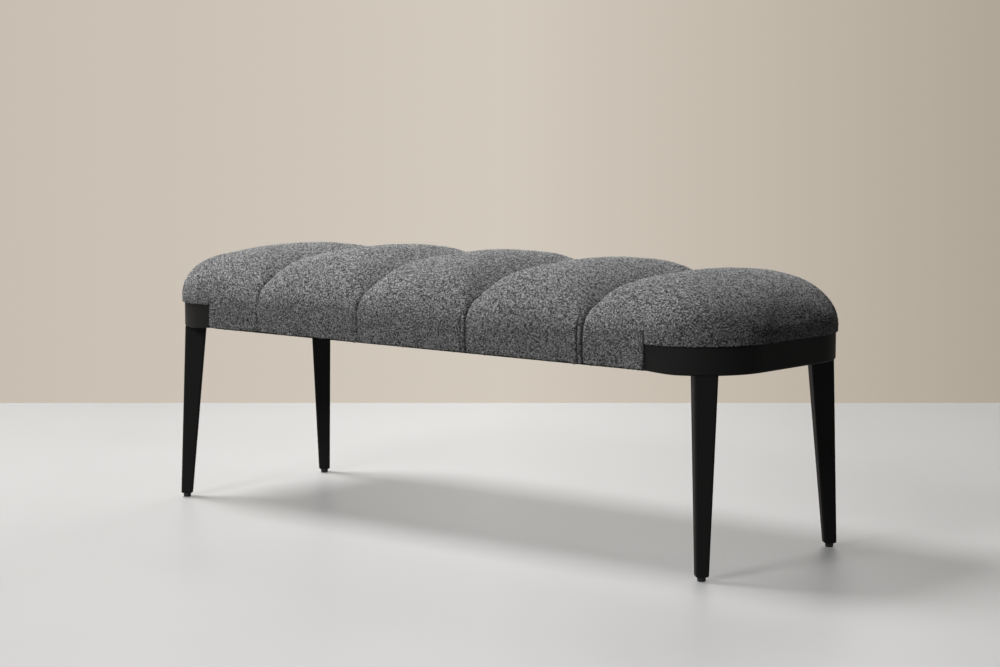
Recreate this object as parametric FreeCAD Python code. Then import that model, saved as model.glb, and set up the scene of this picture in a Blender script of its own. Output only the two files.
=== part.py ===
import FreeCAD, Part
import math
import os
from FreeCAD import Vector

os.makedirs("parts", exist_ok=True)

# Driving dimensions in millimetres. X runs along the bench, -Y is the front, Z is up.
rail_length = 1192.0
rail_width = 390.0
corner_radius = 113.0
rail_thickness = 38.0
rail_height = 46.0
rail_edge_radius = 3.0
arm_reach = 131.0
arm_rise = 4.0
arm_rise_reach = 50.0

glide_height = 7.0
glide_diameter = 13.0
glide_chamfer = 1.2
leg_length = 294.0
leg_top_side = 36.0
leg_foot_side = 20.0
leg_edge_radius = 3.5
leg_foot_chamfer = 1.5
leg_place_angle = 50.0
leg_splay_end = 10.0
leg_splay_side = 17.0

end_channel_length = 248.0
middle_channels = 3
seat_bulge = 4.0
seam_rise = 54.0
seam_turn_rise = 6.5
seam_shoulder = 34.0
middle_crest_rise = 102.5
next_crest_rise = 100.0
end_crest_rise = 94.0
crest_turn_rise = 9.0
crest_shoulder = 87.0
shoulder_share = 0.93
end_shoulder = 24.0
end_crest_from_end = 152.0

cover_thickness = 3.0
cover_margin = 30.0
skirt_lift = 3.0
board_thickness = 12.0
board_setback = 3.0
strip_thickness = 2.0
dust_thickness = 1.0
dust_overlap = 10.0
brace_width = 24.0
brace_height = 38.0
block_reach = 158.0
soft_clearance = 0.3
hole_clearance = 0.2

leg_bolt_diameter = 8.0
leg_bolt_grip = 42.0
leg_bore_depth = 9.0
leg_bore_diameter = 20.0
leg_insert_diameter = 12.0
leg_insert_length = 25.0
hex_head_ratio = 1.65
head_height_ratio = 0.66
seat_bolt_diameter = 6.0
seat_bore_depth = 20.0
seat_bore_diameter = 15.0
seat_bolt_from_arm_end = 14.0
seat_bolt_from_middle = 50.0
seat_insert_diameter = 10.0
dowel_diameter = 8.0
dowel_length = 40.0
leg_dowel_offset = 11.5
screw_diameter = 4.0
screw_head_diameter = 8.0
screw_length = 40.0
screw_from_arm_end = 61.0
nail_diameter = 2.5
nail_length = 18.0

# Levels and places that follow from the sizes above
rail_bottom = glide_height + leg_length
rail_top = rail_bottom + rail_height
skirt_bottom = rail_bottom + skirt_lift
board_bottom = rail_top + cover_thickness
board_top = board_bottom + board_thickness
half_length = rail_length / 2
half_width = rail_width / 2
centre_x = half_length - corner_radius
centre_y = half_width - corner_radius
arm_end = half_length - arm_reach
arm_inner = half_width - rail_thickness
band_radius = corner_radius - rail_thickness / 2
leg_x = centre_x + band_radius * math.cos(math.radians(leg_place_angle))
leg_y = centre_y + band_radius * math.sin(math.radians(leg_place_angle))
inner_gap = cover_thickness + soft_clearance
channel_pitch = (rail_length - 2 * end_channel_length) / middle_channels


def save(name, solids):
    shape = solids[0] if len(solids) == 1 else Part.makeCompound(solids)
    shape.exportStep("parts/" + name + ".step")


def box(x0, x1, y0, y1, z0, z1):
    return Part.makeBox(x1 - x0, y1 - y0, z1 - z0, Vector(x0, y0, z0))


def rod(x, y, z, diameter, length, axis=Vector(0, 0, 1)):
    return Part.makeCylinder(diameter / 2, length, Vector(x, y, z), axis)


def flip_x(shape):
    return shape.mirror(Vector(0, 0, 0), Vector(1, 0, 0))


def flip_y(shape):
    return shape.mirror(Vector(0, 0, 0), Vector(0, 1, 0))


def four(shape):
    return [shape, flip_x(shape), flip_y(shape), flip_x(flip_y(shape))]


def line(a, b):
    return Part.LineSegment(a, b).toShape()


def arc(a, middle, b):
    return Part.Arc(a, middle, b).toShape()


# A flat plate with the rounded plan of the bench, drawn in from the rail's outer face
def plate(inset, z, height):
    x, y = half_length - inset, half_width - inset
    r = corner_radius - inset
    k = r * (1 - math.sqrt(0.5))
    edges = []
    for sx, sy in ((1, -1), (1, 1), (-1, 1), (-1, -1)):
        along_x = Vector(sx * (x - r), sy * y, z)
        along_y = Vector(sx * x, sy * (y - r), z)
        middle = Vector(sx * (x - k), sy * (y - k), z)
        first, last = (along_x, along_y) if sx * sy < 0 else (along_y, along_x)
        if edges:
            edges.append(line(edges[-1].Vertexes[-1].Point, first))
        edges.append(arc(first, middle, last))
    edges.append(line(edges[-1].Vertexes[-1].Point, edges[0].Vertexes[0].Point))
    return Part.Face(Part.Wire(Part.__sortEdges__(edges))).extrude(Vector(0, 0, height))


# A square with rounded corners, turned 45 degrees, for the legs
def leg_section(x, y, z, side, radius):
    points = []
    for i in range(4):
        a = math.radians(90 * i)
        out, across = Vector(math.cos(a), math.sin(a), 0), Vector(-math.sin(a), math.cos(a), 0)
        reach = side / math.sqrt(2)
        cut = radius / math.sqrt(2)
        tip = reach - radius * (math.sqrt(2) - 1)
        points.append([out * (reach - cut) - across * cut, out * tip, out * (reach - cut) + across * cut])
    edges = []
    for i in range(4):
        a, m, b = [Vector(x, y, z) + p for p in points[i]]
        edges.append(arc(a, m, b))
        edges.append(line(b, Vector(x, y, z) + points[(i + 1) % 4][0]))
    return Part.Wire(edges)


# The tapered, splayed leg of the front right corner, bored for its bolt, insert, dowels and nail
def leg():
    foot_x, foot_y = leg_x + leg_splay_end, -leg_y - leg_splay_side
    low = leg_section(foot_x, foot_y, glide_height, leg_foot_side - 2 * leg_foot_chamfer, leg_edge_radius)
    foot = leg_section(foot_x, foot_y, glide_height + leg_foot_chamfer, leg_foot_side, leg_edge_radius)
    top = leg_section(leg_x, -leg_y, rail_bottom, leg_top_side, leg_edge_radius)
    shape = Part.makeLoft([low, foot, top], True, True)
    depth = leg_bolt_grip + 1
    shape = shape.cut(rod(leg_x, -leg_y, rail_bottom - depth, leg_bolt_diameter + hole_clearance, depth))
    shape = shape.cut(rod(leg_x, -leg_y, rail_bottom - leg_insert_length,
                          leg_insert_diameter, leg_insert_length))
    for dowel in leg_dowels():
        shape = shape.cut(dowel)
    return shape.cut(glide_nail())


# Two upright dowels beside the bolt stop the leg turning
def leg_dowels():
    step = leg_dowel_offset / math.sqrt(2)
    z = rail_bottom - dowel_length / 2
    return [rod(leg_x + s * step, -leg_y + s * step, z, dowel_diameter, dowel_length) for s in (-1, 1)]


def hex_head(x, y, z, diameter):
    reach = diameter * hex_head_ratio / math.sqrt(3)
    corners = [Vector(x + reach * math.cos(math.radians(60 * i)), y + reach * math.sin(math.radians(60 * i)), z)
               for i in range(7)]
    return Part.Face(Part.makePolygon(corners)).extrude(Vector(0, 0, diameter * head_height_ratio))


# The leg bolt's head sits in a bore sunk in the rail's top
def leg_bolt():
    seat = rail_top - leg_bore_depth
    foot = rail_bottom - leg_bolt_grip
    shank = rod(leg_x, -leg_y, foot, leg_bolt_diameter, seat - foot)
    return shank.fuse(hex_head(leg_x, -leg_y, seat, leg_bolt_diameter)).removeSplitter()


def ring(x, y, z, outer, inner, height):
    return rod(x, y, z, outer, height).cut(rod(x, y, z, inner, height))


# A seat bolt comes up from below through the rail into a threaded insert in the seat board
def seat_bolt_places():
    arm = (arm_end + seat_bolt_from_arm_end, -half_width + rail_thickness / 2)
    end = (half_length - rail_thickness / 2, -seat_bolt_from_middle)
    return [arm, end]


def seat_bolt(x, y):
    seat = rail_bottom + seat_bore_depth
    head = hex_head(x, y, seat - seat_bolt_diameter * head_height_ratio, seat_bolt_diameter)
    shank = rod(x, y, seat, seat_bolt_diameter, board_top - seat)
    return shank.fuse(head).removeSplitter()


def seat_insert(x, y):
    return ring(x, y, board_bottom, seat_insert_diameter, seat_bolt_diameter, board_thickness)


# The wedge that is planed off below the arms, so that they get slimmer towards their ends
def arm_underside():
    start, end, low = arm_end - 1, arm_end + arm_rise_reach, rail_bottom - 1
    corners = ((start, low), (start, rail_bottom + arm_rise), (end, rail_bottom), (end, low))
    wire = Part.makePolygon([Vector(x, -rail_width, z) for x, z in corners + corners[:1]])
    return Part.Face(wire).extrude(Vector(0, 2 * rail_width, 0))


# The bent end rail of the right end: a U in plan with softened edges and the bores for its bolts
def end_rail():
    body = plate(0, rail_bottom, rail_height)
    flat = [e for e in body.Edges if abs(e.BoundBox.ZMax - e.BoundBox.ZMin) < 0.01]
    body = body.makeFillet(rail_edge_radius, flat)
    body = body.cut(plate(rail_thickness, rail_bottom - 1, rail_height + 2))
    body = body.common(box(arm_end, half_length + 1, -half_width - 1, half_width + 1, rail_bottom, rail_top))
    body = body.cut(arm_underside())
    cuts = []
    cuts.append(rod(leg_x, -leg_y, rail_bottom, leg_bolt_diameter + hole_clearance, rail_height))
    cuts.append(rod(leg_x, -leg_y, rail_top - leg_bore_depth, leg_bore_diameter, leg_bore_depth))
    cuts.extend(leg_dowels())
    for x, y in seat_bolt_places():
        cuts.append(rod(x, y, rail_bottom, seat_bolt_diameter + hole_clearance, rail_height))
        cuts.append(rod(x, y, rail_bottom, seat_bore_diameter, seat_bore_depth))
    for cutter in cuts:
        body = body.cut(cutter).cut(flip_y(cutter))
    return body


def glide():
    x, y = leg_x + leg_splay_end, -leg_y - leg_splay_side
    shape = rod(x, y, 0, glide_diameter, glide_height)
    rim = [e for e in shape.Edges if e.BoundBox.ZMax < 0.01]
    return shape.makeChamfer(glide_chamfer, rim).cut(glide_nail())


def glide_nail():
    x, y = leg_x + leg_splay_end, -leg_y - leg_splay_side
    return rod(x, y, glide_height / 2, nail_diameter, nail_length)


# A countersunk wood screw driven down from its head at z, or up when turned
def screw(x, y, z, way):
    head = (screw_head_diameter - screw_diameter) / 2
    top, foot = Vector(x, y, z), Vector(x, y, z - way * screw_length)
    cone = Part.makeCone(screw_head_diameter / 2, screw_diameter / 2, head, top, Vector(0, 0, -way))
    return cone.fuse(rod(x, y, min(z, foot.z), screw_diameter, screw_length)).removeSplitter()


def board_screws():
    y = (half_width - inner_gap + arm_inner) / 2
    places = (channel_pitch / 2, arm_end - screw_from_arm_end)
    return [screw(s * x, t * y, board_top, 1) for x in places for s in (-1, 1) for t in (-1, 1)]


# The front side rail, behind the cloth, its inner face level with the end rails' arms
def side_rail():
    reach = arm_end - inner_gap
    shape = box(-reach, reach, -half_width + inner_gap, -arm_inner, skirt_bottom + inner_gap, board_bottom)
    for cutter in brace_dowels() + board_screws():
        shape = shape.cut(cutter)
    return shape


def brace(x):
    shape = box(x - brace_width / 2, x + brace_width / 2, -arm_inner, arm_inner,
                board_bottom - brace_height, board_bottom)
    for cutter in brace_dowels():
        shape = shape.cut(cutter)
    return shape


def brace_dowels():
    dowels = []
    for x in (-channel_pitch, 0, channel_pitch):
        for share in (0.25, 0.75):
            z = board_bottom - brace_height * share
            rear = rod(x, arm_inner - dowel_length / 2, z, dowel_diameter, dowel_length, Vector(0, 1, 0))
            dowels.extend([rear, flip_y(rear)])
    return dowels


# The block that fills a rounded front right corner inside the end rail and laps the side rail
def corner_block():
    r = corner_radius - rail_thickness
    k = r * math.sqrt(0.5)
    z = skirt_bottom
    inner_x = centre_x + r
    start = Vector(inner_x - block_reach, -arm_inner, z)
    turn = Vector(centre_x, -arm_inner, z)
    middle = Vector(centre_x + k, -centre_y - k, z)
    finish = Vector(inner_x, -centre_y, z)
    heel = Vector(inner_x, -centre_y / 2, z)
    edges = [line(start, turn), arc(turn, middle, finish), line(finish, heel), line(heel, start)]
    shape = Part.Face(Part.Wire(edges)).extrude(Vector(0, 0, board_bottom - z))
    for cutter in block_screws() + block_wells():
        shape = shape.cut(cutter)
    return shape


# Two screws, sunk in wells, hold each corner block up to the seat board
def block_screw_places():
    k = (corner_radius - rail_thickness) * 0.55
    return [(centre_x + k, -centre_y - k * 0.4), (centre_x - k / 2, -centre_y - k)]


def block_screws():
    start = board_bottom + board_thickness / 2 - screw_length
    return [screw(x, y, start, -1) for x, y in block_screw_places()]


def block_wells():
    depth = board_bottom + board_thickness / 2 - screw_length - skirt_bottom
    return [rod(x, y, skirt_bottom, screw_head_diameter + 1, depth) for x, y in block_screw_places()]


def seat_board():
    shape = plate(inner_gap + board_setback, board_bottom, board_thickness)
    for x, y in seat_bolt_places():
        for hole in four(rod(x, y, board_bottom, seat_insert_diameter, board_thickness)):
            shape = shape.cut(hole)
    cutters = board_screws()
    for one in block_screws():
        cutters.extend(four(one))
    for cutter in cutters:
        shape = shape.cut(cutter)
    return shape


# One closed section across the seat: flat base, upright sides, round shoulders, crowned top
def seat_section(x, low_half, half, low, turn_z, top, shoulder):
    h = top - turn_z
    r = min(shoulder, shoulder_share * h)
    crown = ((half - r) ** 2 + h * h - r * r) / (2 * (h - r))
    lean = math.asin((half - r) / (crown - r))
    tip = Vector(x, crown * math.sin(lean), top - crown + crown * math.cos(lean))
    bend = (math.pi / 2 - lean) / 2
    middle = Vector(x, half - r + r * math.cos(bend), turn_z + r * math.sin(bend))
    foot, turn = Vector(x, low_half, low), Vector(x, half, turn_z)

    def other(p):
        return Vector(p.x, -p.y, p.z)

    edges = [line(other(foot), foot), line(foot, turn), arc(turn, middle, tip)]
    edges.append(arc(tip, Vector(x, 0, top), other(tip)))
    edges.append(arc(other(tip), other(middle), other(turn)))
    edges.append(line(other(turn), other(foot)))
    return Part.Wire(edges)


# A section of a channel, from nothing at the seam to full at the crest
def channel_section(x, fullness, crest_rise, inset, low):
    half = half_width + fullness * seat_bulge - inset
    turn_z = rail_top + seam_turn_rise + fullness * (crest_turn_rise - seam_turn_rise)
    top = rail_top + seam_rise + fullness * (crest_rise - seam_rise) - inset
    shoulder = seam_shoulder + fullness * (crest_shoulder - seam_shoulder) - inset
    return seat_section(x, half_width - inset, half, low, turn_z, top, shoulder)


# How full a channel is at shares of the way from its crest to its seam
flank = ((1, 0), (0.86, 0.31), (0.55, 0.79))


# A middle channel: steep beside its two seams and nearly flat along its crest
def channel(x0, x1, crest_rise, inset, low):
    middle, reach = (x0 + x1) / 2, (x1 - x0) / 2
    steps = [(-t, f) for t, f in flank] + [(0, 1)] + [(t, f) for t, f in reversed(flank)]
    wires = [channel_section(middle + t * reach, f, crest_rise, inset, low) for t, f in steps]
    return Part.makeLoft(wires, True)


# Height of the end channel's middle line: crowned from its crest, then a round shoulder down the end
def end_height(x, inset):
    reach = end_crest_from_end + seat_bulge - inset
    turn_z = rail_top + crest_turn_rise
    top = rail_top + end_crest_rise - inset
    h = top - turn_z
    r = min(end_shoulder - inset, shoulder_share * h)
    crown = ((reach - r) ** 2 + h * h - r * r) / (2 * (h - r))
    lean = math.asin((reach - r) / (crown - r))
    d = x - half_length + end_crest_from_end
    if d < crown * math.sin(lean):
        return top - crown + math.sqrt(crown * crown - d * d)
    return turn_z + math.sqrt(max(r * r - (d - reach + r) ** 2, 0))


# The right end channel: from its seam over the crest and round the corners of the end
def end_channel(x0, inset, low):
    crest_x = half_length - end_crest_from_end
    rise = crest_x - x0
    steps = flank + ((0, 1),)
    wires = [channel_section(crest_x - t * rise, f, end_crest_rise, inset, low) for t, f in steps]
    r = corner_radius + seat_bulge - inset
    turn_z = rail_top + crest_turn_rise
    for degrees in (8, 25, 44, 62, 76, 85):
        a = math.radians(degrees)
        x = centre_x + r * math.sin(a)
        low_half = centre_y + (corner_radius - inset) * math.cos(a)
        half = centre_y + r * math.cos(a)
        wires.append(seat_section(x, low_half, half, low, turn_z, end_height(x, inset), crest_shoulder - inset))
    return Part.makeLoft(wires, True)


def below(z):
    return box(-rail_length, rail_length, -rail_width, rail_width, 0, z)


# A cover panel is a thin shell turned in under the side rails
def cover_panel(x0, x1, crest_rise):
    shape = channel(x0, x1, crest_rise, 0, skirt_bottom)
    shape = shape.cut(channel(x0, x1, crest_rise, cover_thickness, skirt_bottom + cover_thickness))
    opening = half_width - cover_thickness - cover_margin
    return shape.cut(box(x0, x1, -opening, opening, skirt_bottom, board_bottom))


# The end cover panel stops on the end rail's top and is turned in under the seat board
def end_cover_panel(x0):
    far = rail_length
    shape = end_channel(x0, 0, skirt_bottom).cut(box(arm_end, far, -far, far, 0, rail_top))
    room = end_channel(x0, cover_thickness, skirt_bottom + cover_thickness)
    room = room.cut(box(arm_end - cover_thickness, far, -far, far, 0, board_bottom))
    shape = shape.cut(room)
    opening = half_width - cover_thickness - cover_margin
    shape = shape.cut(box(x0, arm_end, -opening, opening, skirt_bottom, board_bottom))
    shape = shape.cut(plate(cover_thickness + cover_margin, rail_top, cover_thickness))
    for x, y in seat_bolt_places():
        hole = rod(x, y, rail_top, seat_bolt_diameter + hole_clearance, cover_thickness)
        shape = shape.cut(hole).cut(flip_y(hole))
    return shape


def foam_gap():
    return strip_thickness / 2 + soft_clearance


def foam_block(x0, x1, crest_rise):
    shape = channel(x0 + foam_gap(), x1 - foam_gap(), crest_rise, inner_gap, rail_top)
    return shape.cut(below(board_top))


def end_foam_block(x0):
    return end_channel(x0 + foam_gap(), inner_gap, rail_top).cut(below(board_top))


# A listing strip is sewn to a seam and stapled to the board between two foam blocks
def listing_strip(x):
    wire = channel_section(x - strip_thickness / 2, 0, seam_rise, inner_gap, rail_top)
    return Part.Face(wire).extrude(Vector(strip_thickness, 0, 0)).cut(below(board_top))


# The dust cover under the seat, lapping the turned-in cloth on the long sides
def dust_cover():
    z = skirt_bottom - dust_thickness
    reach, side = arm_end - 1, half_width - dust_overlap
    shape = plate(rail_thickness + 1.5, z, dust_thickness)
    return shape.fuse(box(-reach, reach, -side, side, z, skirt_bottom)).removeSplitter()


# Frame of each end: rail, legs, glides and their fastenings
right_rail = end_rail()
save("end_rail_right", [right_rail])
save("end_rail_left", [flip_x(right_rail)])
corners = ("front_right", "front_left", "rear_right", "rear_left")
for name, piece in (("leg", leg()), ("glide", glide()), ("corner_block", corner_block())):
    for corner, shape in zip(corners, four(piece)):
        save(name + "_" + corner, [shape])
save("leg_bolts", four(leg_bolt()))
save("leg_inserts", four(ring(leg_x, -leg_y, rail_bottom - leg_insert_length, leg_insert_diameter,
                              leg_bolt_diameter, leg_insert_length)))
save("leg_dowels", [s for d in leg_dowels() for s in four(d)])
save("glide_nails", four(glide_nail()))

# Fastenings between the end rails and the seat board
save("seat_bolts", [s for x, y in seat_bolt_places() for s in four(seat_bolt(x, y))])
save("seat_inserts", [s for x, y in seat_bolt_places() for s in four(seat_insert(x, y))])

# Hidden seat frame and board
front_rail = side_rail()
save("side_rail_front", [front_rail])
save("side_rail_rear", [flip_y(front_rail)])
save("cross_brace_left", [brace(-channel_pitch)])
save("cross_brace_middle", [brace(0)])
save("cross_brace_right", [brace(channel_pitch)])
save("brace_dowels", brace_dowels())
save("corner_block_screws", [s for one in block_screws() for s in four(one)])
save("seat_board", [seat_board()])
save("board_screws", board_screws())
save("dust_cover", [dust_cover()])

# Soft parts: foam, listing strips and cover panels, channel by channel
seams = [channel_pitch * (k - middle_channels / 2) for k in range(middle_channels + 1)]
save("listing_strips", [listing_strip(x) for x in seams])
rises = (next_crest_rise, middle_crest_rise, next_crest_rise)
for name, x0, x1, rise in zip(("left", "middle", "right"), seams[:-1], seams[1:], rises):
    save("foam_block_" + name, [foam_block(x0, x1, rise)])
    save("cover_panel_" + name, [cover_panel(x0, x1, rise)])
end_foam = end_foam_block(seams[-1])
end_cover = end_cover_panel(seams[-1])
save("foam_block_end_right", [end_foam])
save("foam_block_end_left", [flip_x(end_foam)])
save("cover_panel_end_right", [end_cover])
save("cover_panel_end_left", [flip_x(end_cover)])
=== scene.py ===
import math

import bmesh
import bpy
import numpy as np
from mathutils import Euler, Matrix, Vector, kdtree, noise


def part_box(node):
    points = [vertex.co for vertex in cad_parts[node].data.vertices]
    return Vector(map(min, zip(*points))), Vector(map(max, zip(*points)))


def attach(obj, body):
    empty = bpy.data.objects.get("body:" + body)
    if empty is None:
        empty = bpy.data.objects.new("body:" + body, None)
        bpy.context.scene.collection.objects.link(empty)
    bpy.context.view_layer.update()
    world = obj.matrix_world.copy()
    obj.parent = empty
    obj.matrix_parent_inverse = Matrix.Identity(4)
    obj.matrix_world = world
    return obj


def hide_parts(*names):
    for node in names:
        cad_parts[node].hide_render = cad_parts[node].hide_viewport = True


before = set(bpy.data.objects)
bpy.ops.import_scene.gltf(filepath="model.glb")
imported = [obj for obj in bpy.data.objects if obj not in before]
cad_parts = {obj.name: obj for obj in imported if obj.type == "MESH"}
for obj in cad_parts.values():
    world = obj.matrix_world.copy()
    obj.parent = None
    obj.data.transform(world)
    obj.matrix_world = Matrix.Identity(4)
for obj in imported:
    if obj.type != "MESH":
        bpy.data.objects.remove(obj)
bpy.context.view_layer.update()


# Camera
# It stands off the bench's front right corner, a little above the seat, with a long lens. Its place
# and its turn come from where the feet, rails and seams lie in the photograph.
camera_place = Vector((2.5608, -2.9811, 0.7289))
camera_dip = math.radians(6.063)
camera_turn = math.radians(40.42)
camera_lens = 86.36
sensor_width = 36.0
camera_data = bpy.data.cameras.new("camera")
camera_data.sensor_width = sensor_width
camera_data.lens = camera_lens
camera = bpy.data.objects.new("camera", camera_data)
camera.location = camera_place
camera.rotation_euler = Euler((math.pi / 2.0 - camera_dip, 0.0, camera_turn))
bpy.context.scene.collection.objects.link(camera)
bpy.context.scene.camera = camera
bpy.context.scene.view_settings.view_transform = "Standard"


# Floor
# Pale sealed screed, trowelled smooth and faintly glossy, that ends in a straight line at the wall.
# Its soft glow is there only for rays that show the floor, and from below the floor is clear.
class Wire:
    """An output socket, or a bare tree to start from: sums and products add Math nodes to the tree."""

    def __init__(self, tree, socket=None):
        self.tree = tree
        self.socket = socket

    def node(self, kind, settings, sockets, out=0):
        made = self.tree.nodes.new("ShaderNode" + kind)
        for name, value in settings.items():
            if name == "stops":
                lay_stops(made.color_ramp, value)
            else:
                setattr(made, name, value)
        plug(self.tree, made, sockets)
        return Wire(self.tree, made.outputs[out])

    def math(self, operation, first, second=0.0):
        return self.node("Math", {"operation": operation}, {0: first, 1: second})

    def mix(self, share, first, second):
        return self.node("Mix", {"data_type": "RGBA"}, {0: share, 6: first, 7: second}, out=2)

    def stretched(self, scale):
        return self.node("VectorMath", {"operation": "MULTIPLY"}, {0: self, 1: scale})

    def clouds(self, scale, detail=2.0, roughness=0.5):
        sockets = {"Vector": self, "Scale": scale, "Detail": detail, "Roughness": roughness}
        return self.node("TexNoise", {}, sockets)

    def bump(self, strength, distance):
        return self.node("Bump", {}, {"Strength": strength, "Distance": distance, "Height": self})

    def __add__(self, other):
        return self.math("ADD", self, other)

    def __radd__(self, other):
        return self.math("ADD", other, self)

    def __sub__(self, other):
        return self.math("SUBTRACT", self, other)

    def __rsub__(self, other):
        return self.math("SUBTRACT", other, self)

    def __mul__(self, other):
        return self.math("MULTIPLY", self, other)

    def __rmul__(self, other):
        return self.math("MULTIPLY", other, self)


def plug(tree, node, sockets):
    """Link the wires among a node's sockets, and set the others to their values."""
    for key, value in sockets.items():
        if isinstance(value, Wire):
            tree.links.new(value.socket, node.inputs[key])
        else:
            node.inputs[key].default_value = value


def lay_stops(ramp, stops):
    """Give a colour ramp its stops, each a place from 0 to 1 and a colour."""
    while len(ramp.elements) < len(stops):
        ramp.elements.new(1.0)
    for element, (place, colour) in zip(ramp.elements, stops):
        element.position = place
        element.color = colour


def grey(level, warmth=0.0):
    """A grey of linear brightness level; warmth moves it from blue towards red."""
    return (level * (1.0 + warmth), level, level * (1.0 - warmth), 1.0)


def new_finish(name):
    """A material, its shader, and a wire with the place on the piece in metres."""
    material = bpy.data.materials.new(name)
    material.use_nodes = True
    tree = material.node_tree
    shader = tree.nodes["Principled BSDF"]
    place = Wire(tree).node("TexCoord", {}, {}, out="Object")
    return material, shader, place


def ray_kinds(wire):
    """Two wires: 1 on rays straight from the camera, and 1 on rays off gloss or through glass."""
    straight = wire.node("LightPath", {}, {}, out="Is Camera Ray")
    glossy = wire.node("LightPath", {}, {}, out="Is Glossy Ray")
    through = wire.node("LightPath", {}, {}, out="Is Transmission Ray")
    return straight, wire.math("MAXIMUM", glossy, through)


def new_piece(name, mesh):
    """An object in the scene that carries a mesh."""
    piece = bpy.data.objects.new(name, mesh)
    bpy.context.scene.collection.objects.link(piece)
    return piece


wall_distance = 5.376
floor_half_width = 9.0
floor_depth = 16.0
ahead = Vector((-math.sin(camera_turn), math.cos(camera_turn), 0.0))
across = Vector((math.cos(camera_turn), math.sin(camera_turn), 0.0))
wall_foot = Vector((camera_place.x, camera_place.y, 0.0)) + ahead * wall_distance
floor_mesh = bpy.data.meshes.new("floor")
floor_corners = [
    wall_foot - across * floor_half_width,
    wall_foot + across * floor_half_width,
    wall_foot + across * floor_half_width - ahead * floor_depth,
    wall_foot - across * floor_half_width - ahead * floor_depth,
]
floor_mesh.from_pydata(floor_corners, [], [(3, 2, 1, 0)])
floor = new_piece("floor", floor_mesh)
floor_finish, shader, place = new_finish("floor_screed")
floor_warmth = 0.006
glow_stops = (
    (0.12, grey(0.08, floor_warmth)),
    (0.50, grey(0.205, floor_warmth)),
    (0.88, grey(0.08, floor_warmth)),
)
floor_bounce = grey(0.16, floor_warmth)
mottle = place.clouds(2.5, detail=4.0)
screed = place.mix(mottle, grey(0.38, floor_warmth), grey(0.42, floor_warmth))
beside = place.node("VectorMath", {"operation": "DOT_PRODUCT"}, {0: place, 1: across}, out=1)
floor_glow = place.node("ValToRGB", {"stops": glow_stops}, {0: 0.5 + 0.5 * beside})
seen = place.math("MAXIMUM", *ray_kinds(place))
plug(floor_finish.node_tree, shader, {
    "Base Color": place.mix(seen, floor_bounce, screed),
    "Roughness": 0.36 + 0.1 * mottle,
    "Emission Color": place.mix(seen, grey(0.0), floor_glow),
    "Alpha": 1.0 - place.node("NewGeometry", {}, {}, out="Backfacing"),
})
shader.inputs["Emission Strength"].default_value = 1.0
shader.inputs["Specular IOR Level"].default_value = 0.2
floor_mesh.materials.append(floor_finish)


# Room light
# Three soft lamps: a strong one high on the left, one in front like a window, and a weak one behind.
# The room is lighter on its left, and where it is seen behind the bench it is a warm beige wall.
def soft_lamp(name, place, aim, size, power):
    """A square area lamp of a given edge in metres and power in watts, turned towards aim."""
    lamp_data = bpy.data.lights.new(name, "AREA")
    lamp_data.shape = "SQUARE"
    lamp_data.size = size
    lamp_data.energy = power
    lamp = bpy.data.objects.new(name, lamp_data)
    lamp.location = place
    lamp.rotation_euler = (Vector(aim) - Vector(place)).to_track_quat("-Z", "Y").to_euler()
    bpy.context.scene.collection.objects.link(lamp)


soft_lamp("ceiling_lamp", place=(-1.75, -0.35, 3.1), aim=(0.0, 0.0, 0.4), size=1.3, power=140.0)
soft_lamp("window_lamp", place=(0.0, -3.5, 2.3), aim=(0.0, 0.0, 0.3), size=0.9, power=62.0)
soft_lamp("rear_lamp", place=(-1.2, 3.0, 2.6), aim=(0.0, 0.0, 0.3), size=1.6, power=36.0)

room = bpy.data.worlds.new("room")
room.use_nodes = True
bpy.context.scene.world = room
towards = Wire(room.node_tree).node("TexCoord", {}, {}, out="Generated")
sideways = towards.node("VectorMath", {"operation": "DOT_PRODUCT"}, {0: towards, 1: across}, out=1)
wall_stops = (
    (0.40, (0.58, 0.515, 0.445, 1.0)),
    (0.50, (0.65, 0.59, 0.51, 1.0)),
    (0.60, (0.44, 0.385, 0.315, 1.0)),
    (1.00, grey(0.04)),
)
room_stops = ((0.0, grey(0.22)), (1.0, grey(0.04)))
wall_edge_sharpness = 4.0
eastward = towards.node("SeparateXYZ", {}, {0: towards}, out=0)
room_light = towards.node("ValToRGB", {"stops": room_stops}, {0: 0.5 + 0.5 * eastward})
wall_beige = towards.node("ValToRGB", {"stops": wall_stops}, {0: 0.5 + 0.5 * sideways})
straight, mirrored = ray_kinds(towards)
forwards = towards.node("VectorMath", {"operation": "DOT_PRODUCT"}, {0: towards, 1: ahead}, out=1)
wall_side = towards.node("Math", {"operation": "MULTIPLY", "use_clamp": True},
                         {0: forwards, 1: wall_edge_sharpness})
seen = towards.math("MAXIMUM", straight, mirrored * wall_side)
plug(room.node_tree, room.node_tree.nodes["Background"],
     {"Color": towards.mix(seen, room_light, wall_beige)})


# Legs and end rails
# Solid beech, the rails bent round the seat's ends in a U, the legs tapered and set corner on;
# sprayed with satin black lacquer that leaves a trace of grain. Legs are bolted up into the rails.
corners = ("front_right", "front_left", "rear_right", "rear_left")


def dress(material, *nodes):
    """Give CAD pieces a material."""
    for node in nodes:
        part = bpy.data.objects[node]
        part.data.materials.clear()
        part.data.materials.append(material)


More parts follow.
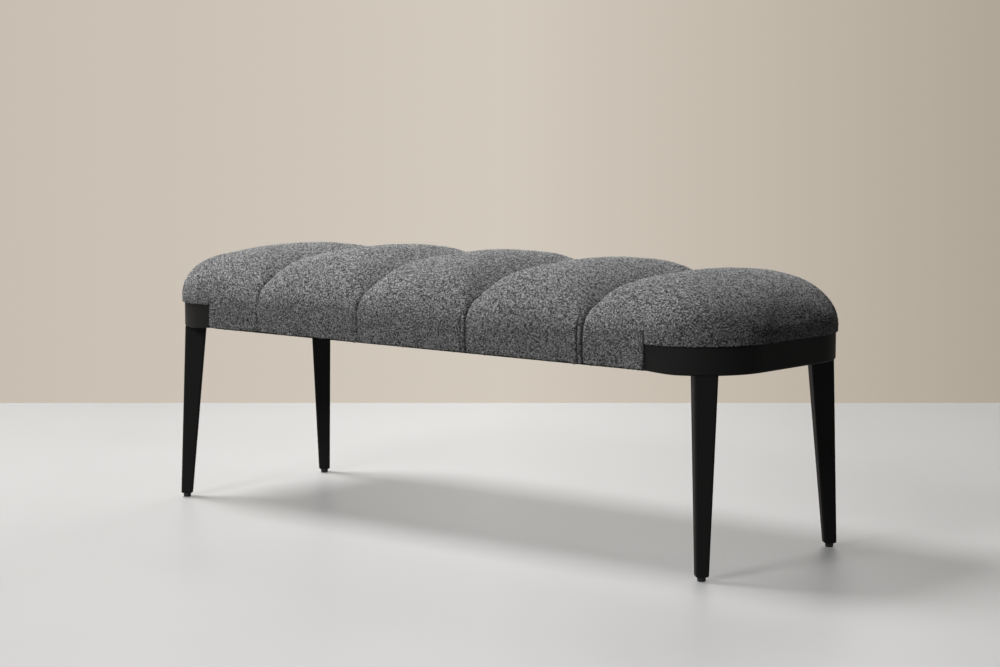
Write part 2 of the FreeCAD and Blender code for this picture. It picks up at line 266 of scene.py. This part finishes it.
black_lacquer, shader, place = new_finish("black_lacquer")
pores = place.stretched((70.0, 70.0, 900.0)).clouds(1.0, detail=3.0)
peel = place.clouds(700.0, detail=1.0)
handling = place.clouds(14.0, detail=3.0)
plug(black_lacquer.node_tree, shader, {
    "Base Color": place.mix(handling, grey(0.0130, 0.02), grey(0.0160, 0.02)),
    "Roughness": 0.56 + 0.10 * handling + 0.04 * peel,
    "Normal": (pores * 0.5 + peel * 0.5).bump(0.12, 0.0002),
})
shader.inputs["Specular IOR Level"].default_value = 0.14
dress(black_lacquer, "end_rail_left", "end_rail_right", *("leg_" + corner for corner in corners))


# Glides
# Turned black nylon discs that keep the feet off the floor, each held by one steel nail, and
# scuffed at the rim by being pushed about.
glide_plastic, shader, place = new_finish("glide_plastic")
scuffs = place.clouds(400.0, detail=4.0)
plug(glide_plastic.node_tree, shader, {
    "Base Color": place.mix(scuffs, grey(0.010), grey(0.030)),
    "Roughness": 0.45 + 0.25 * scuffs,
    "Normal": scuffs.bump(0.15, 0.0002),
})
dress(glide_plastic, *("glide_" + corner for corner in corners))


# Bolts, inserts, screws and nails
# Zinc plated steel, bought in: bolts and threaded inserts join legs, rails and board, screws hold
# the corner blocks and the board, and nails the glides. None is seen on the standing bench.
zinc_steel, shader, place = new_finish("zinc_steel")
spangle = place.clouds(900.0, detail=3.0)
plug(zinc_steel.node_tree, shader, {
    "Base Color": place.mix(spangle, (0.42, 0.43, 0.44, 1.0), (0.58, 0.59, 0.58, 1.0)),
    "Roughness": 0.28 + 0.2 * spangle,
})
shader.inputs["Metallic"].default_value = 1.0
dress(zinc_steel, "leg_bolts", "leg_inserts", "glide_nails", "seat_bolts", "seat_inserts",
      "corner_block_screws", "board_screws")


# Seat frame
# Two planed pine side rails, three pine braces dowelled between them and glued corner blocks that
# are screwed in place, with a birch plywood board screwed on top.
def timber(name, pale, dark, grain):
    """Bare planed wood; grain gives the rings per metre along x, y and z."""
    material, shader, place = new_finish(name)
    drift = place.clouds(6.0, detail=2.0)
    rings = place.stretched(grain).clouds(1.0, detail=4.0, roughness=0.6)
    streaks = rings + 0.4 * drift
    plug(material.node_tree, shader, {
        "Base Color": streaks.node("ValToRGB", {"stops": ((0.45, dark), (0.8, pale))}, {0: streaks}),
        "Roughness": 0.55 + 0.2 * rings,
        "Normal": rings.bump(0.2, 0.0004),
    })
    return material


pine = timber("planed_pine", (0.62, 0.44, 0.26, 1.0), (0.42, 0.25, 0.12, 1.0), (6.0, 120.0, 120.0))
plywood = timber("birch_plywood", (0.66, 0.50, 0.33, 1.0), (0.48, 0.33, 0.19, 1.0),
                 (8.0, 90.0, 1200.0))
dress(pine, "side_rail_front", "side_rail_rear", "cross_brace_left", "cross_brace_middle",
      "cross_brace_right", "brace_dowels", "leg_dowels",
      *("corner_block_" + corner for corner in corners))
dress(plywood, "seat_board")


# Cover and foam
# Five channels of charcoal loop cloth over foam, sewn together on four seams from front to back.
# The cloth is pulled down the long sides and stapled under the side rails; at the two ends it is
# tucked in on top of the end rail.
channels = ("end_left", "left", "middle", "right", "end_right")
mesh_step = 0.00135
skin_run = 0.475
weld_gap = 2e-5

# Cushion sections on a seam and on a crest: half width, height of the turn into the side, top and
# shoulder radius
seam_half = 0.1965
seam_turn = 0.3535
seam_top = 0.401
seam_shoulder = 0.034
crest_half = 0.198
crest_turn = 0.356
crest_shoulder = 0.087
crest_tops = {"middle": 0.4470, "left": 0.4450, "right": 0.4450, "end_left": 0.4397,
              "end_right": 0.4397}
shoulder_share = 0.93
crest_breadth = 2.8
crest_roundness = 1.11

# Where the cloth meets the frame
rail_low, rail_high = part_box("end_rail_right")
arm_end = round(rail_low[0], 4)
frame_half = round(rail_high[1], 4)
rail_top = round(rail_high[2], 4)
plate_height = round(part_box("seat_board")[0][2], 4)
panel_foot = round(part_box("cover_panel_middle")[0][2], 4)
wall_split = plate_height + 0.0005
skirt_foot = panel_foot + 0.0012
hem_radius = 0.0028
under_reach = 0.028
tuck_foot = rail_top + 0.0004
roll_height = rail_top - 0.0018
tuck_proud = 0.0030
tuck_reach = 0.014
rail_edge = 0.0030
turn_rows = 6
hem_rows = 5
under_rows = 6
drop_rows = 5
roll_rows = 7
tuck_columns = 4

# The rounded ends
corner_x = 0.483
corner_radius = 0.117
corner_y = crest_half - corner_radius
end_crest_x = 0.444
end_reach = corner_x + corner_radius - end_crest_x
end_shoulder = 0.024
arm_blend = 0.02
end_run_points = 20001


def two_arcs(half, rise, shoulder):
    """Radii and lean of the shoulder and crown arcs of a cushion section, tangent to each other."""
    radius = np.minimum(shoulder, shoulder_share * rise)
    crown = ((half - radius) ** 2 + rise ** 2 - radius ** 2) / (2.0 * (rise - radius))
    lean = np.arcsin((half - radius) / (crown - radius))
    return radius, crown, lean


def section(half, turn, top, shoulder, rows):
    """Points (y, z) over a section, from the front turn to the rear turn, evenly spaced."""
    rise = max(top - turn, 1e-5)
    radius, crown, lean = two_arcs(half, rise, shoulder)
    shoulder_run = radius * (math.pi / 2.0 - lean)
    crown_run = crown * lean
    run = np.linspace(-(shoulder_run + crown_run), shoulder_run + crown_run, rows)
    side = np.sign(run)
    on_crown = np.abs(run) <= crown_run
    crown_angle = np.abs(run) / crown
    shoulder_angle = lean + (np.abs(run) - crown_run) / radius
    y = np.where(on_crown, crown * np.sin(crown_angle),
                 half - radius + radius * np.sin(shoulder_angle))
    z = np.where(on_crown, turn + rise - crown + crown * np.cos(crown_angle),
                 turn + radius * np.cos(shoulder_angle))
    return side * y, z


def end_height(x):
    """Height of the seat's middle line past the last crest, where it rounds down to the end."""
    rise = crest_tops["end_right"] - crest_turn
    radius, crown, lean = two_arcs(np.array(end_reach), np.array(rise), end_shoulder)
    out = np.clip(x - end_crest_x, 0.0, end_reach)
    on_crown = out <= crown * np.sin(lean)
    high = rise - crown + np.sqrt(np.maximum(crown ** 2 - out ** 2, 0.0))
    low = np.sqrt(np.maximum(radius ** 2 - (out - end_reach + radius) ** 2, 0.0))
    return crest_turn + np.where(on_crown, high, low)


def end_half(x):
    """Half width of the seat in plan past the corner's start."""
    out = np.clip(x - corner_x, 0.0, corner_radius)
    return corner_y + np.sqrt(corner_radius ** 2 - out ** 2)


def fullness(share):
    """How full a channel is, from 0 on the seam to 1 on its crest; share is 1 on the seam."""
    return (1.0 - np.abs(share) ** crest_breadth) ** crest_roundness


def skirt_rows(step):
    """Points (inset, z) below the split height on a long side: down, round the hem, under, up inside."""
    fall = wall_split - skirt_foot - hem_radius
    drop = np.linspace(wall_split, skirt_foot + hem_radius, round(fall / step))[:-1]
    bend = np.linspace(0.0, math.pi / 2.0, hem_rows)
    under = np.linspace(hem_radius, under_reach, under_rows)[1:]
    inset = np.concatenate([drop * 0.0, hem_radius * (1.0 - np.cos(bend)), under, [under_reach]])
    z = np.concatenate([drop, skirt_foot + hem_radius * (1.0 - np.sin(bend)),
                        under * 0.0 + skirt_foot, [plate_height]])
    return inset, z


def tuck_rows():
    """The same at an end: the cloth rolls over the rail's top edge and is tucked in on top of it."""
    drop = np.linspace(wall_split, roll_height, drop_rows)[:-1]
    roll = np.linspace(0.0, math.pi, roll_rows)
    inward = np.linspace(tuck_proud + rail_edge, tuck_reach, tuck_columns)
    inset = np.concatenate([drop * 0.0, tuck_proud / 2.0 * (1.0 - np.cos(roll)), inward, [tuck_reach]])
    z = np.concatenate([drop, roll_height - tuck_proud / 2.0 * np.sin(roll),
                        inward * 0.0 + tuck_foot, [plate_height]])
    return inset, z


def add_grid(shell, points):
    """Add a sheet of four-sided faces over a grid of points."""
    rows, columns = points.shape[:2]
    made = [[shell.verts.new(point) for point in row] for row in points]
    for i in range(rows - 1):
        for j in range(columns - 1):
            shell.faces.new((made[i][j], made[i + 1][j], made[i + 1][j + 1], made[i][j + 1]))


def ribbon(outline, outward, bulge, bulge_foot, below):
    """A side wall hung on an outline at turn height; its bulge fades out down to bulge_foot."""
    turn = outline[:, 2]

    def pull_in(z):
        return bulge * np.clip((turn - z) / (turn - bulge_foot), 0.0, 1.0) ** 2.0

    def row(inset, z):
        return np.column_stack([outline[:, :2] - outward * (pull_in(z) + inset)[:, None], z])

    shares = np.linspace(0.0, 1.0, turn_rows)
    upper = [row(0.0, turn + (wall_split - turn) * share) for share in shares]
    lower = [row(inset, np.full(len(turn), z)) for inset, z in zip(*below)]
    return np.stack(upper), np.stack(lower)


def bounds_of(name):
    """The lowest and highest x of a channel."""
    low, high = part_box("cover_panel_" + name)
    return low[0], high[0]


def channel_shell(name, step):
    """The open outer skin of one channel, as a mesh with evenly spaced points."""
    shell = bmesh.new()
    low, high = bounds_of(name)
    at_end = name.startswith("end_")
    if at_end:
        seam_x = min(abs(low), abs(high))
        reach = end_crest_x - seam_x
        dense = np.linspace(arm_end, corner_x + corner_radius, end_run_points)
        climb = end_height(dense)
        run = np.concatenate([[0.0], np.cumsum(np.hypot(np.diff(dense), np.diff(climb)))])
        past_arm = np.interp(np.arange(0.0, run[-1], step), run, dense)
        inner = np.linspace(seam_x, arm_end, round((arm_end - seam_x) / step))
        stations = np.concatenate([inner, past_arm[1:], [corner_x + corner_radius]])
        share = np.clip((end_crest_x - stations) / reach, 0.0, 1.0)
    else:
        stations = np.linspace(low, high, round((high - low) / step))
        share = np.abs(stations - (low + high) / 2.0) / ((high - low) / 2.0)
    rows = round(skin_run / step)
    skin = []
    for x, full in zip(stations, fullness(share)):
        half = seam_half + full * (crest_half - seam_half)
        turn = seam_turn + full * (crest_turn - seam_turn)
        top = seam_top + full * (crest_tops[name] - seam_top)
        shoulder = seam_shoulder + full * (crest_shoulder - seam_shoulder)
        if at_end and x > end_crest_x:
            half = float(end_half(x))
            top = float(end_height(x))
        y, z = section(half, turn, top, shoulder, rows)
        skin.append(np.column_stack([np.full(rows, x), y, z]))
    skin = np.stack(skin)
    add_grid(shell, skin)

    def outward_of(points):
        away = np.zeros((len(points), 2))
        away[:, 1] = np.sign(points[:, 1])
        past = points[:, 0] > corner_x
        if at_end:
            centre_y = np.sign(points[:, 1]) * np.minimum(np.abs(points[:, 1]), corner_y)
            round_corner = np.column_stack([points[:, 0] - corner_x, points[:, 1] - centre_y])
            round_corner /= np.maximum(np.linalg.norm(round_corner, axis=1), 1e-9)[:, None]
            away[past] = round_corner[past]
        return away

    def hang(outline, below):
        bulge = np.maximum(np.abs(outline[:, 1]) - frame_half, 0.0)
        bulge_foot = np.full(len(outline), skirt_foot)
        if at_end:
            bulge = np.where(outline[:, 0] > end_crest_x, crest_half - frame_half - tuck_proud, bulge)
            past_arm = np.clip((outline[:, 0] - arm_end) / arm_blend, 0.0, 1.0)
            bulge_foot = bulge_foot + (tuck_foot - skirt_foot) * past_arm
        upper, lower = ribbon(outline, outward_of(outline), bulge, bulge_foot, below)
        add_grid(shell, upper)
        add_grid(shell, lower)
        return lower[-1]

    front = skin[:, 0]
    rear = skin[:, -1]
    if at_end:
        split = len(inner)
        front_inner = hang(front[:split], skirt_rows(step))
        rear_inner = hang(rear[:split], skirt_rows(step))
        round_end = np.concatenate([front[split - 1:], skin[-1, 1:-1], rear[split - 1:][::-1]])
        end_inner = hang(round_end, tuck_rows())
        count = len(front) - split + 1
        add_grid(shell, np.stack([front_inner, rear_inner]))
        add_grid(shell, np.stack([end_inner[:count], end_inner[::-1][:count]]))
    else:
        front_inner = hang(front, skirt_rows(step))
        rear_inner = hang(rear, skirt_rows(step))
        add_grid(shell, np.stack([front_inner, rear_inner]))
    if name == "end_left":
        for vert in shell.verts:
            vert.co.x = -vert.co.x
    bmesh.ops.remove_doubles(shell, verts=shell.verts, dist=weld_gap)
    bmesh.ops.recalc_face_normals(shell, faces=shell.faces)
    return shell


seams = sorted({round(x, 4) for name in channels for x in bounds_of(name) if abs(x) < arm_end})
sewn_margin = 0.012
sewn_share = 0.2
cloth_step = 0.007
cloth_frames = 20
cloth_ease = 0.004
air_pressure = 4.0
swell_start = 0.0010
swell_limit = 0.0018
near_count = 6
near_blend = 0.002


def swell(name):
    """Blow up a coarse copy of a channel with Cloth, sewn at seams and hems; gives points and moves."""
    coarse = channel_shell(name, cloth_step)
    coarse.normal_update()
    full_shape = [vert.co.copy() for vert in coarse.verts]
    free = []
    for spot in full_shape:
        seam_gap = min(abs(spot.x - seam) for seam in seams)
        hem_gap = max(0.0, spot.z - wall_split)
        free.append(min(1.0, min(seam_gap, hem_gap) / sewn_margin))
    for vert, share in zip(coarse.verts, free):
        vert.co -= vert.normal * (swell_start * share)
    pad_mesh = bpy.data.meshes.new("pad_" + name)
    coarse.to_mesh(pad_mesh)
    coarse.free()
    pad = new_piece("pad_" + name, pad_mesh)
    sewn = pad.vertex_groups.new(name="sewn")
    for index, share in enumerate(free):
        sewn.add([index], 1.0 if share < sewn_share else 0.0, "REPLACE")
    cloth = pad.modifiers.new("cloth", "CLOTH")
    cloth.settings.vertex_group_mass = "sewn"
    cloth.settings.use_pressure = True
    cloth.settings.uniform_pressure_force = air_pressure
    cloth.settings.effector_weights.gravity = 0.0
    cloth.settings.shrink_min = -cloth_ease
    for count in range(1, cloth_frames + 1):
        bpy.context.scene.frame_set(count)
    blown = pad.evaluated_get(bpy.context.evaluated_depsgraph_get()).data
    moves = []
    for vert, spot in zip(blown.vertices, full_shape):
        move = vert.co - spot
        moves.append(move * min(1.0, swell_limit / max(move.length, 1e-9)))
    bpy.context.scene.frame_set(1)
    bpy.data.objects.remove(pad)
    tree = kdtree.KDTree(len(full_shape))
    for index, spot in enumerate(full_shape):
        tree.insert(spot, index)
    tree.balance()
    return tree, moves


def carried(tree, moves, spot):
    """The swelling at one point, blended from the coarse points nearest to it."""
    total = Vector()
    weights = 0.0
    for _, index, gap in tree.find_n(spot, near_count):
        weight = 1.0 / (gap + near_blend) ** 2
        total += moves[index] * weight
        weights += weight
    return total / weights


# Depths and widths of what sewing does to the cloth, and the size of its loops
side_top = 0.352
side_fade = 0.02
seam_pinch = 0.0010
marked_pinch = 0.0013
top_pinch = 0.0030
pinch_width = 0.0030
seam_clear = 0.004
# Each seam's mark sets both how deep it is pinched in and how dark its painted shade line is; the crease
# numbers below shape only that painted shade in the seams' creases, stitch lines and darts.
crease_marks = dict(zip(seams, (0.28, 0.40, 1.0, 1.0)))
crease_width = 0.0018
crease_top = 0.405
crease_fade = 0.04
crease_depth = 0.0022
crease_on_top = 0.2
crease_in_dart = 0.7
stitch_sinks = {seams[3]: 0.0020, seams[2]: 0.0011, seams[1]: 0.0004}
stitch_offset = 0.009
stitch_width = 0.0016
stitch_top = 0.400
stitch_fade = 0.03
dart_sink = 0.0018
dart_width = 0.0022
dart_length = 0.030
lump_height = 0.0016
lumps_per_metre = 14.0
lump_shift = 7.3
pucker_height = 0.0011
pucker_reach = 0.018
puckers_along = 25.0
puckers_across = 75.0
hem_line = 0.318
hem_fade = 0.008
ripple_height = 0.0013
ripples_per_metre = 70.0
fray_height = 0.0020
frays_per_metre = 210.0
loop_size = 0.0022
loop_height = 0.0019
loop_steepness = 1.15
loop_base = 0.45
loop_bend = 0.0011
loop_bends_per_metre = 260.0
loop_bend_seed = 7
# The next two numbers shape the painted shade of the loops in the cloth's colour: light on the loop tops,
# dark in the gaps between them, with the contrast raised on the seat's top.
loop_mean = 0.37
top_shade_contrast = 1.6
tucked_depth = 0.0065
noise.seed_set(loop_bend_seed)


def ramp(distance, span):
    """0 before a line, 1 from a span past it on, and straight in between."""
    return min(1.0, max(0.0, distance / span))


def groove(gap, width):
    """Depth of a rounded groove beside its line, 1 on the line itself."""
    return math.exp(-(gap / width) ** 2)


def depth_in_plan(spot):
    """How far a point lies inside the seat's outline, seen from above."""
    past = max(0.0, abs(spot.x) - corner_x)
    beside = max(0.0, abs(spot.y) - corner_y)
    return corner_radius - (math.hypot(past, beside) if past > 0.0 else beside)


def hem_fray(spot):
    """How far the cloth's lower edge stands out: slow ripples and short frayed ends."""
    ripple = ripple_height * noise.noise(spot * ripples_per_metre)
    fray = fray_height * noise.noise(spot * frays_per_metre)
    return (ripple + fray) * ramp(hem_line - spot.z, hem_fade)


def dart_depth(spot):
    """Depth of the short sewn dart above the end of each rail's arm."""
    gap = abs(abs(spot.x) - arm_end)
    return dart_sink * groove(gap, dart_width) * (1.0 - ramp(spot.z - rail_top, dart_length))


def stitch_depth(spot):
    """Depth of the second stitch lines that run beside the seams on the front."""
    if spot.y >= 0.0:
        return 0.0
    low = ramp(stitch_top - spot.z, stitch_fade)
    lines = (sink * groove(spot.x - seam + stitch_offset, stitch_width)
             for seam, sink in stitch_sinks.items())
    return low * sum(lines)


def loop_curl(spot):
    """Height of the cloth's loops, 0 between them and nearly 1 on top of one."""
    bend = noise.noise_vector(spot * loop_bends_per_metre) * loop_bend
    near = noise.voronoi((spot + bend) / loop_size)[0]
    return max(0.0, 1.0 - near[0] * loop_steepness)


def sew_and_roughen(shell, name, tree, swells):
    """Pinch the skin in at the seams, press darts and stitch lines in, and raise the cloth's loops; also
    store painted shade for the cloth's colour, in the loops' gaps and in the creases.
    """
    shell.normal_update()
    loops = shell.verts.layers.float.new("loops")
    creases = shell.verts.layers.float.new("creases")
    own_lumps = Vector((channels.index(name) * lump_shift, 0.0, 0.0))
    moves = []
    for vert in shell.verts:
        spot = vert.co
        seam = min(seams, key=lambda line: abs(spot.x - line))
        seam_gap = abs(spot.x - seam)
        mark = crease_marks[seam]
        on_top = ramp(spot.z - side_top, side_fade)
        clear = ramp(seam_gap, seam_clear)
        curl = loop_curl(spot)
        dart = dart_depth(spot)
        stitch = stitch_depth(spot)
        low = ramp(crease_top - spot.z, crease_fade)
        low_mark = mark * (crease_on_top + (1.0 - crease_on_top) * low)
        pressed = (stitch + crease_in_dart * dart) / crease_depth
        # Painted shade: a mask that darkens the cloth's colour in the seams' creases and in the pressed
        # stitch lines and darts.
        vert[creases] = min(1.0, low_mark * groove(seam_gap, crease_width) + pressed)
        # Painted shade: the loops' light tops and dark gaps for the cloth's colour, with more contrast on
        # the top surface than on the sides.
        vert[loops] = loop_mean + (curl - loop_mean) * (1.0 + top_shade_contrast * on_top)
        if spot.z < wall_split and depth_in_plan(spot) > tucked_depth:
            moves.append(Vector())
            continue
        pinch = seam_pinch + marked_pinch * mark + top_pinch * on_top
        lump = lump_height * noise.noise(spot * lumps_per_metre + own_lumps)
        fold = Vector((spot.x * puckers_along, spot.y * puckers_across, spot.z * puckers_across))
        pucker = pucker_height * noise.noise(fold) * groove(seam_gap, pucker_reach)
        rise = (lump + pucker + hem_fray(spot) + loop_height * (curl - loop_base)) * clear
        sink = pinch * groove(seam_gap, pinch_width) + dart + stitch
        move = vert.normal * (rise - sink)
        if swells:
            move += carried(tree, swells, spot)
        move.x *= clear
        moves.append(move)
    for vert, move in zip(shell.verts, moves):
        vert.co += move


loop_cloth, shader, place = new_finish("loop_cloth")
loop_shade_mask = place.node("Attribute", {"attribute_name": "loops"}, {}, out=2)
crease_shade_mask = place.node("Attribute", {"attribute_name": "creases"}, {}, out=2)
curls_per_metre = 860.0
curl_sway = 0.0016
cloth_relief = 0.0040
sway = place.node("TexNoise", {}, {"Vector": place, "Scale": 300.0, "Detail": 1.0}, out=1)
swayed = place.node("VectorMath", {"operation": "MULTIPLY_ADD"},
                    {0: sway, 1: (curl_sway, curl_sway, curl_sway), 2: place})
curls = {"Vector": swayed, "Scale": curls_per_metre}
curl_gap = place.node("TexVoronoi", {}, curls, out=0)
curl_tint = place.node("TexVoronoi", {}, curls, out=1)
tint = place.node("SeparateColor", {}, {0: curl_tint}, out=0)
yarn = place.clouds(1700.0, detail=2.0)
drift = place.clouds(9.0, detail=3.0)
# Painted shade: lighter at the middle of each curl and darker in the gaps between curls; the same height
# also drives the bump.
height = 1.0 - 1.1 * curl_gap
# Random tint per curl, with painted shade in the gaps between loops and curls.
tint_and_painted_shade = (0.20 + 0.42 * loop_shade_mask + 0.62 * height) * (0.05 + 1.60 * tint) + 0.04 * (drift - 0.5)
# Painted shade: the colour is darkened in the creases, stitch lines and darts.
tone = tint_and_painted_shade * (1.0 - 0.75 * crease_shade_mask)
cloth_stops = (
    (0.0, grey(0.002)),
    (0.22, grey(0.021)),
    (0.57, grey(0.185)),
    (0.97, grey(0.76)),
)
plug(loop_cloth.node_tree, shader, {
    "Base Color": tone.node("ValToRGB", {"stops": cloth_stops}, {0: tone}),
    "Normal": (height * 0.75 + yarn * 0.25).bump(1.0, cloth_relief),
})
shader.inputs["Roughness"].default_value = 0.95
shader.inputs["Specular IOR Level"].default_value = 0.15
shader.inputs["Sheen Weight"].default_value = 0.12
shader.inputs["Sheen Roughness"].default_value = 0.6

fill_sides = 8
for name in channels:
    tree, swells = swell(name)
    shell = channel_shell(name, mesh_step)
    sew_and_roughen(shell, name, tree, swells)
    open_edges = [edge for edge in shell.edges if edge.is_boundary]
    bmesh.ops.holes_fill(shell, edges=open_edges, sides=0)
    for face in shell.faces:
        face.smooth = len(face.verts) < fill_sides
    panel_mesh = bpy.data.meshes.new("channel_" + name)
    shell.to_mesh(panel_mesh)
    shell.free()
    panel_mesh.materials.append(loop_cloth)
    panel = new_piece("channel_" + name, panel_mesh)
    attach(panel, "root")
    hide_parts("cover_panel_" + name, "foam_block_" + name)


# Listing tapes
# A woven cotton tape is sewn into each of the four seams and pulls it down between the foam blocks
# to the seat board.
tape_half_length = 0.15
tape_top = 0.388
tape_foot = 0.366
tape_rows = 6
tape_columns = 25
tape_cloth, shader, place = new_finish("listing_cloth")
weave = place.stretched((900.0, 2200.0, 2200.0)).clouds(1.0, detail=1.0)
plug(tape_cloth.node_tree, shader, {
    "Base Color": place.mix(weave, (0.42, 0.38, 0.31, 1.0), (0.62, 0.57, 0.48, 1.0)),
    "Normal": weave.bump(0.4, 0.0003),
})
shader.inputs["Roughness"].default_value = 0.9
tapes = bmesh.new()
for seam in seams:
    lengths = np.linspace(-tape_half_length, tape_half_length, tape_columns)
    heights = np.linspace(tape_foot, tape_top, tape_rows)
    add_grid(tapes, np.array([[(seam, y, z) for y in lengths] for z in heights]))
tape_area = sum(face.calc_area() for face in tapes.faces)
tape_mesh = bpy.data.meshes.new("listing_tapes")
tapes.to_mesh(tape_mesh)
tapes.free()
tape_mesh.materials.append(tape_cloth)
tape = new_piece("listing_tapes", tape_mesh)
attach(tape, "root")
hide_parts("listing_strips")


# Dust cover
# Black non-woven polypropylene, stretched under the seat and stapled to the frame every few
# centimetres; it hangs a little slack between the staples.
cover_low, cover_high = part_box("dust_cover")
cover_height = cover_low[2]
cover_sag = 0.0025
arm_clearance = 0.001
arm_inset = arm_end - arm_clearance
long_half = cover_high[1]
round_half = 0.1555
round_radius = cover_high[0] - corner_x
cover_columns = 61
middle_rows = 187
corner_rows = 19
arm_rows = 5
notch_step = 0.0002


def cover_half_width(x):
    """Half width of the dust cover: full between the rails' arms, rounded inside the end rails."""
    if abs(x) <= arm_inset:
        return long_half
    out = max(0.0, abs(x) - corner_x)
    return round_half - round_radius + math.sqrt(max(round_radius ** 2 - out ** 2, 0.0))


dust_cloth, shader, place = new_finish("dust_cloth")
fibres = place.clouds(900.0, detail=4.0, roughness=0.7)
spots = place.node("TexVoronoi", {}, {"Vector": place, "Scale": 480.0}, out=0)
plug(dust_cloth.node_tree, shader, {
    "Base Color": place.mix(fibres, grey(0.006), grey(0.028)),
    "Roughness": 0.70 + 0.2 * fibres,
    "Normal": (fibres * 0.5 + spots * 0.5).bump(0.5, 0.0004),
})
past_corner = corner_x + round_radius * np.sin(np.linspace(0.0, math.pi / 2.0, corner_rows))
right_stations = np.concatenate([np.linspace(arm_inset + notch_step, corner_x, arm_rows)[:-1], past_corner])
middle_stations = np.linspace(-arm_inset, arm_inset, middle_rows)
cover_stations = np.concatenate([-right_stations[::-1], middle_stations, right_stations])
cover_points = []
for x in cover_stations:
    half = cover_half_width(x)
    line = []
    for share in np.linspace(-1.0, 1.0, cover_columns):
        slack = (1.0 - share ** 2) * (1.0 - (x / cover_high[0]) ** 2)
        ripple = 0.35 + 0.65 * noise.noise(Vector((x * 9.0, share * 2.2, 4.0)))
        line.append((x, share * half, cover_height - cover_sag * slack * (0.7 + 0.3 * ripple)))
    cover_points.append(line)
cover_sheet = bmesh.new()
add_grid(cover_sheet, np.array(cover_points))
bmesh.ops.remove_doubles(cover_sheet, verts=cover_sheet.verts, dist=1e-6)
for face in cover_sheet.faces:
    face.smooth = True
cover_area = sum(face.calc_area() for face in cover_sheet.faces)
cover_mesh = bpy.data.meshes.new("dust_cover_sheet")
cover_sheet.to_mesh(cover_mesh)
cover_sheet.free()
cover_mesh.materials.append(dust_cloth)
dust_sheet = new_piece("dust_cover_sheet", cover_mesh)
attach(dust_sheet, "root")
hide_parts("dust_cover")


# Staples
# Flat zinc plated wire, bent into staples and shot through the dust cover's edge into the side rails
# and the corner blocks, a few centimetres apart.
staple_pitch = 0.046
staple_crown = 0.0110
staple_wire = 0.0011
staple_edge = 0.009
staple_start = 0.02
staple_skew = 0.12
corner_angles = np.radians((-62.0, -38.0, 38.0, 62.0))
staple_leg = 0.0030
staple_bend = 0.0004
staple_thickness = 0.6 * staple_wire
staples = bmesh.new()


def drive_staple(x, y, turn):
    """One staple: a flat crown with bent shoulders, pressed against the cloth."""
    along = Vector((math.cos(turn), math.sin(turn), 0.0))
    wide = Vector((-math.sin(turn), math.cos(turn), 0.0)) * staple_wire / 2.0
    path = [(-0.5, staple_leg), (-0.5, staple_bend), (-0.44, 0.0), (0.44, 0.0), (0.5, staple_bend),
            (0.5, staple_leg)]
    rings = []
    for reach, rise in path:
        middle = Vector((x, y, cover_height - staple_wire)) + along * (reach * staple_crown)
        middle.z += rise
        inner = Vector((0.0, 0.0, staple_thickness))
        if rise == staple_leg:
            inner = along * (-math.copysign(staple_thickness, reach))
        corners_of_ring = (middle - wide, middle + wide, middle + wide + inner, middle - wide + inner)
        rings.append([staples.verts.new(corner) for corner in corners_of_ring])
    for first, second in zip(rings, rings[1:]):
        for k in range(4):
            staples.faces.new((first[k], first[(k + 1) % 4], second[(k + 1) % 4], second[k]))
    staples.faces.new(rings[0][::-1])
    staples.faces.new(rings[-1])


for x in np.arange(-arm_inset + staple_start, arm_inset, staple_pitch):
    for side in (-1.0, 1.0):
        skew = staple_skew * noise.noise(Vector((x * 40.0, side, 1.0)))
        drive_staple(x, side * (long_half - staple_edge), skew)
for side in (-1.0, 1.0):
    for angle in corner_angles:
        hand = math.copysign(1.0, angle)
        x = side * (corner_x + (round_radius - staple_edge) * math.cos(angle))
        y = hand * (round_half - round_radius) + (round_radius - staple_edge) * math.sin(angle)
        drive_staple(x, y, math.pi / 2.0 + side * angle)
bmesh.ops.recalc_face_normals(staples, faces=staples.faces)
staple_mesh = bpy.data.meshes.new("dust_cover_staples")
staples.to_mesh(staple_mesh)
staples.free()
staple_mesh.materials.append(zinc_steel)
staple_piece = new_piece("dust_cover_staples", staple_mesh)
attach(staple_piece, "root")
